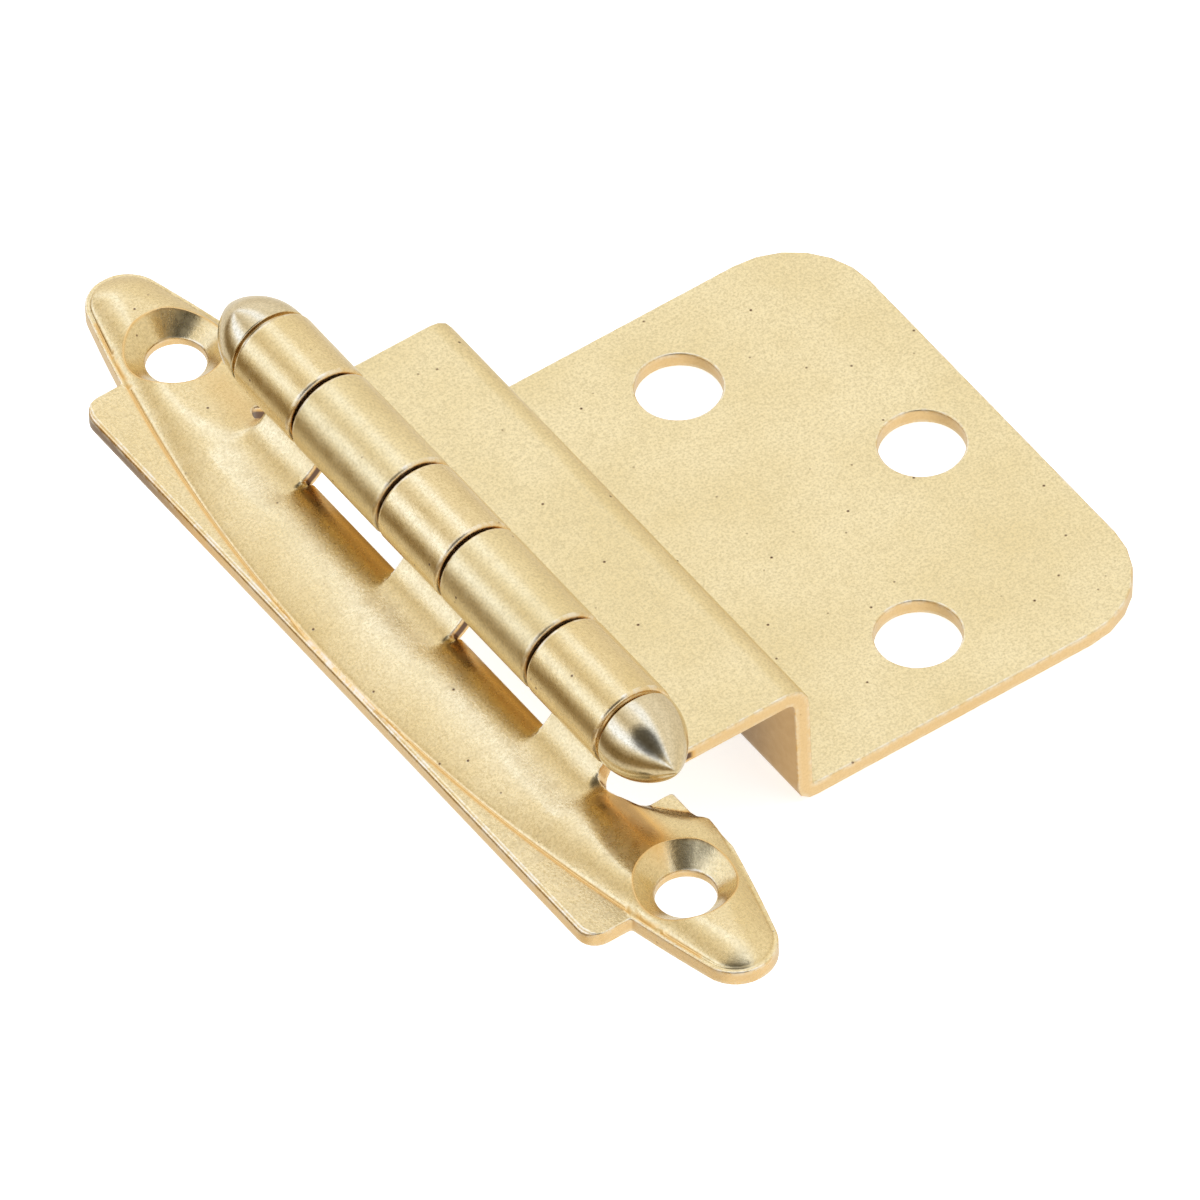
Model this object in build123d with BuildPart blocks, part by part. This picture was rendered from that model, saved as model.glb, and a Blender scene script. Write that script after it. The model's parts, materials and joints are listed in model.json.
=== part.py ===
from build123d import *
import math
import os

# Face-mounted inset cabinet door hinge. Millimetres, +Z away from the cabinet frame.
# The frame leaf rests on the cabinet's face frame at z = 0, with its two screws on the
# line x = 0. The pin runs along Y. The door leaf lies to +X and is drawn closed.

# Driving dimensions
sheet = 1.15                   # thickness of both stamped leaves
inset_step = 9.525             # depth of the lip cut round the door's edge, 3/8 in
flat_lift = 1.33               # underside of the door leaf's upper flat above z = 0

pin_x = 1.65                   # pin axis
pin_z = 8.42
barrel_radius = 3.10
pin_radius = 1.90
door_clearance = 0.05          # radial, door knuckles run on the pin
frame_clearance = 0.02         # radial, frame knuckles grip the pin
barrel_top = 19.5              # outer ends of the two end knuckles
barrel_bottom = -20.8
middle_knuckle_half = 3.46     # joint lines between knuckles, measured from the middle
outer_knuckle_start = 13.11
knuckle_gap = 0.20
curl_end_gap = 0.12            # between the end of each curl and the tab under it

lens_half_length = 36.85       # pointed oval of the frame leaf
lens_half_width = 7.5
lens_tip_radius = 2.7
lens_lip = 0.30                # flat edge left outside the raised part
crest_height = 2.62            # top of the raised part above z = 0
crest_at_screws = 2.2
fall_start = 18.5              # the crest falls to the level round the screws here
fall_end = 26.5
tip_fall_start = 29.0          # and towards the tips from here
tip_fall_end = 39.0
ridge_right_mid = 2.0          # right foot of the raised part beside the knuckles
ridge_right_end = 4.4          # and beyond them
ridge_turn_start = 20.8
ridge_turn_end = 25.2
hollow_inset = 0.92            # from each foot of the raised part to the hollow under it

flange_edge = -7.43            # long straight edge of the frame leaf
flange_half_length = 28.6
flange_corner = 1.4
ear_edge = 4.0                 # small flat ear beyond each end of the barrel
ear_start = 21.35
ear_end = 24.5
trim_edge = 4.5                # straight right side of the oval beyond the ear
ear_blend = 0.24               # roundings where the ear's side steps out to the oval's
notch_corner = 1.0             # inner corners of the cut beyond the end knuckles
tab_root = 0.20                 # where the sheet is cut between the knuckle tabs
tab_start = -1.6

frame_screw_spacing = 57.15    # 2 1/4 in
frame_screw_radius = 2.0
countersink_radius = 3.35
countersink_depth = 1.5
straight_hole_depth = 0.6
dimple_foot_radius = 3.1
dimple_top_radius = 4.2

leg_face = 15.65               # the face of the upright that meets the door's lip
flat_start = 5.6               # edge of the upper flat beside the barrel
door_half_width = 19.98
plate_end = 43.74
plate_corner = 6.35
upper_bend_inner = 0.60
lower_bend_inner = 0.15
door_hole_radius = 2.87
door_hole_x = 28.46
door_hole_spacing = 26.76
far_hole_x = 38.19

finial_length = 4.9
finial_neck_radius = 2.60
finial_neck_length = 0.30
finial_base_radius = 2.97
finial_tip_radius = 0.80
finial_nose_start = 4.45
finial_socket_depth = 2.0
pin_chamfer = 0.2

over = 1.0                     # how far a cutting solid runs past what it cuts

# Derived
curl_radius = barrel_radius - sheet / 2
flat_top = flat_lift + sheet
plate_top = flat_top - inset_step
lens_tip_centre = lens_half_length - lens_tip_radius
lens_side_radius = (
    (lens_half_width**2 + lens_tip_centre**2 - lens_tip_radius**2)
    / (2 * (lens_half_width - lens_tip_radius))
)
lens_side_offset = lens_side_radius - lens_half_width
lens_side_angle = math.degrees(math.asin(lens_tip_centre / (lens_side_radius - lens_tip_radius)))
lens_tip_sweep = 180 - 2 * lens_side_angle
countersink_taper = math.degrees(
    math.atan((countersink_radius - frame_screw_radius) / countersink_depth)
)
frame_screws = [(0, frame_screw_spacing / 2), (0, -frame_screw_spacing / 2)]


def ease(value, low, high):
    """0 below low, 1 above high, with a smooth turn between."""
    t = min(max((value - low) / (high - low), 0.0), 1.0)
    return t * t * (3 - 2 * t)


def outline_half_width(y):
    """Half width of the pointed oval at a distance y from its middle."""
    if abs(y) >= lens_tip_centre:
        return math.sqrt(max(lens_tip_radius**2 - (abs(y) - lens_tip_centre) ** 2, 0.0))
    return math.sqrt(lens_side_radius**2 - y**2) - lens_side_offset


def crest(y):
    """Height of the top of the raised part."""
    to_screws = ease(abs(y), fall_start, fall_end)
    to_tip = ease(abs(y), tip_fall_start, tip_fall_end)
    return crest_height - (crest_height - crest_at_screws) * to_screws - (crest_at_screws - sheet) * to_tip


def ridge_feet(y):
    """Left and right foot of the raised part."""
    left = lens_lip - outline_half_width(y)
    right = ridge_right_mid + (ridge_right_end - ridge_right_mid) * ease(
        abs(y), ridge_turn_start, ridge_turn_end
    )
    return left, min(right, -left)


def ridge_height(x, y):
    """Height of the raised part's upper face, an arc from foot to foot."""
    left, right = ridge_feet(y)
    half = (right - left) / 2
    rise = crest(y) - sheet
    radius = (half**2 + rise**2) / (2 * rise)
    return crest(y) - radius + math.sqrt(radius**2 - (x - (left + right) / 2) ** 2)


def at_y(y):
    """A sketch plane across the hinge: local x is +X and local y is +Z."""
    return Plane.XZ.offset(-y)


def ridge_sections(stations, inset, drop, foot, floor):
    """Closed cross-sections of the raised part, or of the hollow under it."""
    sections = []
    for y in stations:
        left, right = ridge_feet(y)
        left += inset
        right -= inset
        with BuildSketch(at_y(y)) as section:
            with BuildLine():
                ThreePointArc((left, foot), ((left + right) / 2, crest(y) - drop), (right, foot))
                Line((right, foot), (right, floor))
                Line((right, floor), (left, floor))
                Line((left, floor), (left, foot))
            make_face()
        sections.append(section.sketch)
    return sections


def mirrored(values):
    """The stations on both sides of the middle, in order."""
    return [-v for v in reversed(values)] + [0.0] + list(values)


def curl(start_x, start_z, side, inner_radius):
    """Sheet that runs straight from a start point and curls round the pin.
    side = 1 when it comes from -X and passes under the pin, -1 when it comes from +X."""
    dx = pin_x - start_x
    dz = pin_z - start_z
    distance = math.hypot(dx, dz)
    heading = math.atan2(dz, dx) - side * math.asin(curl_radius / distance)
    run = math.sqrt(distance**2 - curl_radius**2)
    touch = (start_x + run * math.cos(heading), start_z + run * math.sin(heading))
    touch_angle = math.degrees(heading) - side * 90
    clear = (curl_radius - sheet / 2 - curl_end_gap) / barrel_radius
    sweep_angle = 360 - math.degrees(math.acos(clear))
    width = barrel_radius - inner_radius
    with BuildSketch() as profile:
        with BuildLine():
            Line((start_x, start_z), touch)
        trace(line_width=sheet)
        with BuildLine():
            CenterArc((pin_x, pin_z), barrel_radius - width / 2, touch_angle, side * sweep_angle)
        trace(line_width=width)
    return profile.sketch


# Frame leaf: one stamping with a raised pointed oval, a flange, two ears and three knuckles.
outer_stations = [6, 12, 16, 19, 21, 23, 25, 27, 29, 31, 33, 34.6, 35.7, 36.4]
hollow_stations = [6, 12, 16, 19, 21, 23, 25, 27, 29, 31]
frame_knuckles = [
    (-middle_knuckle_half + knuckle_gap / 2, middle_knuckle_half - knuckle_gap / 2),
    (outer_knuckle_start + knuckle_gap / 2, barrel_top),
    (barrel_bottom, -outer_knuckle_start - knuckle_gap / 2),
]

# the hollow under the raised part, less the two dimples that carry the screw heads
with BuildPart() as hollow:
    loft(ridge_sections(mirrored(hollow_stations), hollow_inset, sheet, 0, -over))
    with Locations(*frame_screws):
        Cone(
            dimple_foot_radius, dimple_top_radius, crest_height,
            align=(Align.CENTER, Align.CENTER, Align.MIN), mode=Mode.SUBTRACT,
        )

with BuildPart() as frame_leaf:
    with BuildSketch(Plane.XY):
        with BuildLine():
            CenterArc((-lens_side_offset, 0), lens_side_radius, -lens_side_angle, 2 * lens_side_angle)
            CenterArc((0, lens_tip_centre), lens_tip_radius, lens_side_angle, lens_tip_sweep)
            CenterArc((lens_side_offset, 0), lens_side_radius, 180 - lens_side_angle, 2 * lens_side_angle)
            CenterArc((0, -lens_tip_centre), lens_tip_radius, 180 + lens_side_angle, lens_tip_sweep)
        make_face()
        with BuildSketch(mode=Mode.PRIVATE) as flange:
            with Locations((flange_edge / 2, 0)):
                RectangleRounded(-flange_edge, 2 * flange_half_length, flange_corner)
        add(flange.sketch)
        # on the pin's side the oval is trimmed straight, with an ear next to the barrel
        with Locations((lens_half_width, 0)):
            Rectangle(2 * (lens_half_width - trim_edge), 2 * flange_half_length + over, mode=Mode.SUBTRACT)
            Rectangle(2 * (lens_half_width - ear_edge), 2 * ear_end, mode=Mode.SUBTRACT)
        for end in (ear_end, -ear_end):
            fillet(vertices().sort_by_distance((trim_edge, end))[0], ear_blend)
            fillet(vertices().sort_by_distance((ear_edge, end))[0], ear_blend)
    extrude(amount=sheet)
    loft(ridge_sections(mirrored(outer_stations), 0, 0, sheet, 0))
    add(hollow.part, mode=Mode.SUBTRACT)
    # the sheet stops here between the ears, apart from the tabs added below
    with BuildSketch(Plane.XY.offset(-over)):
        with Locations((tab_root + lens_half_width / 2, 0)):
            Rectangle(lens_half_width, 2 * ear_start)
        fillet(vertices().group_by(Axis.X)[0], notch_corner)
    extrude(amount=crest_height + 2 * over, mode=Mode.SUBTRACT)
    with Locations(*frame_screws):
        Cylinder(frame_screw_radius, 3 * crest_height, mode=Mode.SUBTRACT)
    with BuildSketch(Plane.XY.offset(straight_hole_depth)):
        with Locations(*frame_screws):
            Circle(frame_screw_radius)
    extrude(amount=countersink_depth + over, taper=-countersink_taper, mode=Mode.SUBTRACT)
    for low, high in frame_knuckles:
        with BuildSketch(at_y(low)):
            root_height = ridge_height(tab_start, (low + high) / 2) - sheet / 2
            add(curl(tab_start, root_height, 1, pin_radius + frame_clearance))
        extrude(amount=low - high)

# Door leaf: upper flat, upright, plate with three screw holes, and two knuckles.
door_knuckles = [
    (middle_knuckle_half + knuckle_gap / 2, outer_knuckle_start - knuckle_gap / 2),
    (-outer_knuckle_start + knuckle_gap / 2, -middle_knuckle_half - knuckle_gap / 2),
]

with BuildPart() as door_leaf:
    with BuildSketch(at_y(-door_half_width)):
        with BuildLine():
            Polyline(
                (flat_start, flat_top),
                (leg_face, flat_top),
                (leg_face, plate_top),
                (plate_end, plate_top),
                (plate_end, plate_top - sheet),
                (leg_face - sheet, plate_top - sheet),
                (leg_face - sheet, flat_lift),
                (flat_start, flat_lift),
                close=True,
            )
        make_face()
        for corner, radius in (
            ((leg_face, flat_top), upper_bend_inner + sheet),
            ((leg_face - sheet, flat_lift), upper_bend_inner),
            ((leg_face, plate_top), lower_bend_inner),
            ((leg_face - sheet, plate_top - sheet), lower_bend_inner + sheet),
        ):
            fillet(vertices().sort_by_distance(corner)[0], radius)
    extrude(amount=-2 * door_half_width)
    far_corners = door_leaf.edges().filter_by(Axis.Z).group_by(Axis.X)[-1]
    fillet(far_corners, plate_corner)
    with Locations(
        (door_hole_x, door_hole_spacing / 2, plate_top),
        (door_hole_x, -door_hole_spacing / 2, plate_top),
        (far_hole_x, 0, plate_top),
    ):
        Hole(door_hole_radius, depth=sheet + over)
    for low, high in door_knuckles:
        with BuildSketch(at_y(low)):
            add(curl(flat_start + sheet, flat_lift + sheet / 2, -1, pin_radius + door_clearance))
        extrude(amount=low - high)

# Pin: a plain shaft that carries a finial on each end.
with BuildPart() as hinge_pin:
    with BuildSketch(at_y(barrel_bottom - finial_socket_depth)):
        with Locations((pin_x, pin_z)):
            Circle(pin_radius)
    extrude(amount=-(barrel_top - barrel_bottom + 2 * finial_socket_depth))
    chamfer(hinge_pin.edges().filter_by(GeomType.CIRCLE), pin_chamfer)


def finial(face, side):
    """Bullet-shaped tip on the barrel's end face, with a narrow neck and a blind socket
    for the end of the pin."""
    along = Plane(origin=(pin_x, face, pin_z), x_dir=(1, 0, 0), z_dir=(0, 0, 1))
    neck = (finial_neck_radius, side * finial_neck_length)
    shoulder = (finial_base_radius, side * finial_neck_length)
    nose = (finial_tip_radius, side * finial_nose_start)
    tip = (0, side * finial_length)
    socket = (pin_radius, side * finial_socket_depth)
    with BuildPart() as piece:
        with BuildSketch(along):
            with BuildLine():
                Polyline((pin_radius, 0), (finial_neck_radius, 0), neck, shoulder)
                TangentArc(shoulder, nose, tangent=(0, side))
                Spline(nose, tip, tangents=[(-1, side), (-1, 0)])
                Polyline(tip, (0, side * finial_socket_depth), socket, (pin_radius, 0))
            make_face()
        revolve(axis=Axis((pin_x, face, pin_z), (0, 1, 0)))
    return piece


upper_finial = finial(barrel_top, 1)
lower_finial = finial(barrel_bottom, -1)

os.makedirs("parts", exist_ok=True)
frame_leaf.part.label = "frame_leaf"
export_step(frame_leaf.part, "parts/frame_leaf.step")
door_leaf.part.label = "door_leaf"
export_step(door_leaf.part, "parts/door_leaf.step")
hinge_pin.part.label = "hinge_pin"
export_step(hinge_pin.part, "parts/hinge_pin.step")
upper_finial.part.label = "upper_finial"
export_step(upper_finial.part, "parts/upper_finial.step")
lower_finial.part.label = "lower_finial"
export_step(lower_finial.part, "parts/lower_finial.step")
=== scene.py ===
import json
import math

import bpy
import numpy as np
from mathutils import Matrix, Vector
from mathutils.geometry import delaunay_2d_cdt


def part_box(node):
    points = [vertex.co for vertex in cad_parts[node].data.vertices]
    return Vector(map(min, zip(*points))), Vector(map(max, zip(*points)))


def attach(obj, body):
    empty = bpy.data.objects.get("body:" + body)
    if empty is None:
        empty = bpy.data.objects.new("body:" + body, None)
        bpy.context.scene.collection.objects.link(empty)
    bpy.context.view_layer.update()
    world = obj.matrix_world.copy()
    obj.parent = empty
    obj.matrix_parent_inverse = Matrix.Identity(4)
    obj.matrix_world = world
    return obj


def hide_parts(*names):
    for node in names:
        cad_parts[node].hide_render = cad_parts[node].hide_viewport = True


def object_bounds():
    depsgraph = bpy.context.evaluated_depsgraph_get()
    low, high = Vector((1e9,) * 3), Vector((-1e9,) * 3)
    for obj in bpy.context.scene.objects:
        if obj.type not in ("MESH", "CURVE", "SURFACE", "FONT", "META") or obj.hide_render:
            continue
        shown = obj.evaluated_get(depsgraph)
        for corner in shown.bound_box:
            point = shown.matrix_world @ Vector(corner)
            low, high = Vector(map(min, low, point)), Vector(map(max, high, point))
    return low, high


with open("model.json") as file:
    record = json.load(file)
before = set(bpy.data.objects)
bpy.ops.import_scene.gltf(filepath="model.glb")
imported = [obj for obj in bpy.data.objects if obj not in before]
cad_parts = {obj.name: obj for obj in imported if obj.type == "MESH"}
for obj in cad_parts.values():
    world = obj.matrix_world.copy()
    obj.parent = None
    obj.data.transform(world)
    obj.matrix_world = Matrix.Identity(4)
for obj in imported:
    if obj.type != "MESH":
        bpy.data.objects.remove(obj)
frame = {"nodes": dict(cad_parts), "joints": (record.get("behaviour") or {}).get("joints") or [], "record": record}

# Inset cabinet door hinge in pale brass plate. Shapes are worked out in millimetres in the
# row frame and written to the meshes in metres.
cad_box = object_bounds()
MM = 0.001

# ---------------------------------------------------------------- sizes read from the frame
mounts = {m["name"]: m for m in frame["record"]["mounts"]}
joint = frame["joints"][0]
pin_x = joint["pos_m"][0] / MM
pin_z = joint["pos_m"][2] / MM
frame_low, frame_high = (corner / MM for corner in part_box("frame_leaf"))
door_low, door_high = (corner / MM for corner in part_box("door_leaf"))
upper_low, upper_high = (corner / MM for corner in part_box("upper_finial"))
lower_low, lower_high = (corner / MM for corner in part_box("lower_finial"))

sheet = mounts["door_outer_screw"]["dims"]["length_mm"]
barrel_radius = frame_high.z - pin_z
barrel_top = upper_low.y
barrel_bottom = lower_high.y
lens_half_length = frame_high.y
lens_half_width = -frame_low.x
screw_y = mounts["frame_screws"]["dims"]["spacing_y_mm"] / 2
screw_radius = mounts["frame_screws"]["dims"]["hole_r_mm"]
door_hole_radius = mounts["door_screws"]["dims"]["hole_r_mm"]
door_hole_x = mounts["door_screws"]["pos_m"][0] / MM
door_hole_y = mounts["door_screws"]["dims"]["spacing_y_mm"] / 2
far_hole_x = mounts["door_outer_screw"]["pos_m"][0] / MM
flat_mid = mounts["door_lip_face"]["pos_m"][2] / MM - sheet / 2
plate_mid = door_low.z + sheet / 2
door_half_width = door_high.y

# ---------------------------------------------------------------- other sizes, millimetres
curl_radius = barrel_radius - sheet / 2
knuckle_edges = (3.46, 13.11)     # joint lines between the knuckles
knuckle_gap = 0.15                # from a joint line to each knuckle's end
knuckle_corner = 0.45

# frame leaf: a raised oval on a flat flange
lens_tip_radius = 2.7
lens_lip = 0.30                   # flat edge left outside the raised part
crest_x = -1.6
crest_height = 2.62
crest_at_screws = 2.2
end_blend = (18.0, 26.5)          # the crest falls to its height at the screws between these
tip_fall = 0.25
tip_fall_blend = (31, 38)
right_fall = 0.085                # how fast the oval falls away towards the slots
right_fall_power = 2.2
deepest_fall = 1.0
foot_step = 0.14                  # the sharp step up at the oval's foot, and its run
foot_step_run = 0.07
flank_mid = 6.2                   # run from the oval's foot to its flat top
flank_end = 1.95
flank_right = 1.1
flank_blend = (14, 26)
flank_right_blend = (22, 28)
flank_power = 1.9                 # how steeply the flanks start
flank_right_power = 2.1
flank_end_power = 1.65
ridge_right_mid = 1.75            # the oval's right foot beside the knuckles
ridge_right_slope = 0.92
ridge_turn = 0.3
ridge_turn_lead = 0.15
foot_start = 19.2                 # the right foot is free of the tabs from here
foot_end = 25.4                   # and joins the outline here

countersink_radius = 3.35
countersink_foot = 0.6
screw_boss = (3.1, 4.2)           # the hollow underneath stops round each screw

flange_edge = -7.44
flange_end = 28.6
flange_corner = 1.4
ear_edge = 4.0
ear_start = 21.35
ear_end = 24.5
ear_corner = 0.25
trim_edge = 4.5
trim_corner = 0.3
slot_edge = 0.20
slot_corner = 0.18
notch_edge = 0.15
upper_notch_edge = 0.5
notch_valley = 1.5                # the lower notch's deepest point, beside the ear
notch_bend = 19.8
nick_end = -0.20                  # the tabs are cut free of the oval from here
nick_width = 0.07
nick_corner = 0.03

tab_side = 18.9
tab_rise_start = -3.6             # the tabs begin to lift out of the oval here
tab_rise_end = 0.9                # and run straight from here
tab_start_slope = 0.17
tab_heading = math.radians(50)
frame_curl_sweep = math.radians(298)
knuckle_overhang = 1.2            # the end knuckles widen this far round the curl

# door leaf: curls, upper flat, upright and plate
door_curl_sweep = math.radians(306)
tab_corner = 6.75
leg_face = 15.65
tab_bend = 1.5                    # bend radii of the sheet's mid-line
upper_bend = 1.175
lower_bend = 0.725
flat_edge = 5.6
flat_corner = 0.3
plate_corner = 6.35
relief_depth = 7.35               # small cuts in the flat beside each tab
relief_width = 0.6
relief_corner = 0.25

# rounding of the sheet's edges
frame_edge_round = 0.09
flange_edge_round = 0.22          # more, along the flange's long edge
door_edge_round = 0.12
back_edge_round = 0.07
curl_edge_round = 0.2             # more, on the curls


# ---------------------------------------------------------------- plane geometry
def ease(value, low, high):
    """0 up to low, 1 from high on, smooth between them."""
    t = np.clip((value - low) / (high - low), 0.0, 1.0)
    return t * t * (3 - 2 * t)


def mixed(first, last, share):
    """first at share 0 and last at share 1."""
    return first + (last - first) * share


def circle(cx, cy, radius, count, clockwise=False):
    """Points round a circle, clockwise for a hole."""
    turn = np.linspace(0, 2 * math.pi, count, endpoint=False)
    if clockwise:
        turn = -turn
    return np.stack([cx + radius * np.cos(turn), cy + radius * np.sin(turn)], 1)


def arc(cx, cy, radius, start, end, step):
    """Points on an arc between two angles in degrees, as corners with no rounding."""
    count = max(3, int(abs(math.radians(end - start)) * radius / step) + 1)
    turn = np.radians(np.linspace(start, end, count))
    return [(cx + radius * math.cos(a), cy + radius * math.sin(a), 0.0) for a in turn]


def corner_arc(before, corner, after, count):
    """Points round a corner (x, y, rounding) between its neighbours, where count(turn) says
    how many there are for a turn in radians."""
    here, radius = np.array(corner[:2], float), corner[2]
    back = np.array(before[:2]) - here
    ahead = np.array(after[:2]) - here
    back /= np.linalg.norm(back)
    ahead /= np.linalg.norm(ahead)
    half = math.acos(np.clip(back @ ahead, -1, 1)) / 2
    centre = here + (back + ahead) / np.linalg.norm(back + ahead) * radius / math.sin(half)
    first = here + back * radius / math.tan(half) - centre
    last = here + ahead * radius / math.tan(half) - centre
    start = math.atan2(first[1], first[0])
    turn = (math.atan2(last[1], last[0]) - start + math.pi) % (2 * math.pi) - math.pi
    angles = start + turn * np.linspace(0, 1, count(abs(turn)))
    return [centre + radius * np.array([math.cos(a), math.sin(a)]) for a in angles]


def rounded(corners, step):
    """A closed outline through corners (x, y, rounding), with no edge longer than step."""
    points = []
    for i, corner in enumerate(corners):
        if corner[2] == 0:
            points.append(np.array(corner[:2]))
            continue
        after = corners[(i + 1) % len(corners)]
        points += corner_arc(corners[i - 1], corner, after, lambda turn: max(4, int(turn / 0.26) + 1))
    closed = []
    for i, p in enumerate(points):
        q = points[(i + 1) % len(points)]
        length = np.linalg.norm(q - p)
        if length < 1e-4:
            continue
        parts = max(1, math.ceil(length / step))
        closed += [p + (q - p) * k / parts for k in range(parts)]
    return np.array(closed)


def inward(loop):
    """At each point of a loop, the step towards its left side that keeps edges parallel."""
    edge = np.roll(loop, -1, 0) - loop
    edge /= np.linalg.norm(edge, axis=1)[:, None]
    side = np.stack([-edge[:, 1], edge[:, 0]], 1)
    before = np.roll(side, 1, 0)
    total = side + before
    return total / np.maximum(1 + (side * before).sum(1), 0.3)[:, None]


def inside(points, loop):
    """True for each point that a loop goes round."""
    x, y = points[:, 0][:, None], points[:, 1][:, None]
    x1, y1 = loop[:, 0][None], loop[:, 1][None]
    x2, y2 = np.roll(loop[:, 0], -1)[None], np.roll(loop[:, 1], -1)[None]
    crosses = (y1 > y) != (y2 > y)
    with np.errstate(divide="ignore", invalid="ignore"):
        at = (x2 - x1) * (y - y1) / (y2 - y1) + x1
    return (crosses & (x < at)).sum(1) % 2 == 1


def gap_to(points, loop):
    """Distance from each point to the nearest edge of a loop."""
    a, b = loop, np.roll(loop, -1, 0)
    best = np.full(len(points), 1e9)
    for first in range(0, len(a), 64):
        p, q = a[first:first + 64], b[first:first + 64]
        d = q - p
        t = ((points[:, None] - p) * d).sum(2) / (d * d).sum(1)
        near = p + np.clip(t, 0, 1)[..., None] * d
        best = np.minimum(best, np.linalg.norm(points[:, None] - near, axis=2).min(1))
    return best


# ---------------------------------------------------------------- sheet metal
ROUND_STEPS = 4                   # faces round each edge
PLATE_INSET = 0.04                # from the rounded edge to the flat faces' outline
SMALLEST_AREA = 1e-9


def make_sheet(name, loops, fill, place, edge_top, edge_bottom, painted_shade, margin):
    """A stamped sheet with rounded edges, all round its outline and its holes.
    loops are the outline (anticlockwise) and holes (clockwise) in the flat pattern, fill the
    points between them, place(u, v, w) folds the pattern, the two edge functions give the
    rounding of the upper and lower edge at a point of a loop, and the last function, of
    (u, v, w, wall, rim), gives the painted shade: 0 for clean plate, 0.5 for amber and 1 for
    dark brown."""
    positions, levels, walls, rims = [], [], [], []
    strips = []
    count = 0

    def add_ring(points, level, wall, rim):
        nonlocal count
        positions.append(points)
        levels.append(level)
        walls.append(np.full(len(points), wall))
        rims.append(np.full(len(points), rim))
        first = count
        count += len(points)
        return np.arange(first, count)

    plate_loops = []
    for loop in loops:
        step = inward(loop)
        top = edge_top(loop[:, 0], loop[:, 1])
        bottom = edge_bottom(loop[:, 0], loop[:, 1])
        deep = np.maximum(top, bottom) + PLATE_INSET
        plate_loops.append(loop + step * deep[:, None])
        rings = [add_ring(plate_loops[-1], np.full(len(loop), sheet / 2), 0, 0)]
        for k in range(ROUND_STEPS + 1):
            a = math.pi / 2 * k / ROUND_STEPS
            moved = loop + step * (top * (1 - math.sin(a)))[:, None]
            rings.append(add_ring(moved, sheet / 2 - top * (1 - math.cos(a)), k / ROUND_STEPS, 1))
        for share in (0.3, 0.7):
            high, low = sheet / 2 - top, -sheet / 2 + bottom
            rings.append(add_ring(loop, high + (low - high) * share, 1, 0))
        for k in range(ROUND_STEPS, -1, -1):
            a = math.pi / 2 * k / ROUND_STEPS
            moved = loop + step * (bottom * (1 - math.sin(a)))[:, None]
            rings.append(add_ring(moved, -sheet / 2 + bottom * (1 - math.cos(a)), k / ROUND_STEPS, 1))
        rings.append(add_ring(plate_loops[-1], np.full(len(loop), -sheet / 2), 0, 0))
        strips.append(rings)

    keep = inside(fill, plate_loops[0])
    for hole in plate_loops[1:]:
        keep &= ~inside(fill, hole)
    fill = fill[keep]
    for loop in plate_loops:
        fill = fill[gap_to(fill, loop) > margin]

    flat_points = np.concatenate(plate_loops + [fill])
    edges, first = [], 0
    for loop in plate_loops:
        size = len(loop)
        edges += [(first + i, first + (i + 1) % size) for i in range(size)]
        first += size
    result = delaunay_2d_cdt([Vector(p) for p in flat_points], edges, [], 0, 1e-5)
    source = [ids[0] for ids in result[3]]
    triangles = np.array([[source[i] for i in face] for face in result[2]])
    middle = flat_points[triangles].mean(1)
    keep = inside(middle, plate_loops[0])
    for hole in plate_loops[1:]:
        keep &= ~inside(middle, hole)
    triangles = triangles[keep]
    a, b, c = (flat_points[triangles[:, i]] for i in range(3))
    area = (b[:, 0] - a[:, 0]) * (c[:, 1] - a[:, 1]) - (b[:, 1] - a[:, 1]) * (c[:, 0] - a[:, 0])
    triangles = triangles[np.abs(area) > SMALLEST_AREA]
    area = area[np.abs(area) > SMALLEST_AREA]
    triangles[area < 0] = triangles[area < 0][:, ::-1]

    top_fill = add_ring(fill, np.full(len(fill), sheet / 2), 0, 0)
    bottom_fill = add_ring(fill, np.full(len(fill), -sheet / 2), 0, 0)
    top_ids = np.concatenate([rings[0] for rings in strips] + [top_fill])
    bottom_ids = np.concatenate([rings[-1] for rings in strips] + [bottom_fill])
    faces = [tuple(t) for t in top_ids[triangles].tolist()]
    faces += [tuple(t) for t in bottom_ids[triangles][:, ::-1].tolist()]
    for rings in strips:
        for upper, lower in zip(rings[:-1], rings[1:]):
            ahead_upper, ahead_lower = np.roll(upper, -1), np.roll(lower, -1)
            quads = np.stack([upper, lower, ahead_lower, ahead_upper], 1)
            faces += [tuple(quad) for quad in quads.tolist()]

    flat = np.concatenate(positions)
    level = np.concatenate(levels)
    x, y, z = place(flat[:, 0], flat[:, 1], level)
    wall, rim = np.concatenate(walls), np.concatenate(rims)
    # painted shade at each point: 0 clean, 0.5 amber, 1 dark brown
    dark = np.clip(painted_shade(flat[:, 0], flat[:, 1], level, wall, rim), 0, 1)
    return new_mesh(name, np.stack([x, y, z], 1), faces, wall, rim, dark)


def new_mesh(name, points, faces, wall, rim, dark):
    """A smooth-shaded piece, with where it is cut, where it is rounded and its painted shade as attributes."""
    mesh = bpy.data.meshes.new(name)
    mesh.from_pydata((points * MM).tolist(), [], faces)
    mesh.update()
    for label, values in (("wall", wall), ("rim", rim), ("painted_shade", dark)):
        layer = mesh.attributes.new(label, "FLOAT", "POINT")
        layer.data.foreach_set("value", np.asarray(values, np.float32))
    mesh.polygons.foreach_set("use_smooth", np.ones(len(mesh.polygons), bool))
    made = bpy.data.objects.new(name, mesh)
    bpy.context.scene.collection.objects.link(made)
    return made


# ---------------------------------------------------------------- frame leaf
lens_tip_centre = lens_half_length - lens_tip_radius
lens_side_radius = (
    (lens_half_width**2 + lens_tip_centre**2 - lens_tip_radius**2)
    / (2 * (lens_half_width - lens_tip_radius))
)
lens_side_offset = lens_side_radius - lens_half_width
lens_side_angle = math.degrees(math.asin(lens_tip_centre / (lens_side_radius - lens_tip_radius)))


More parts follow.
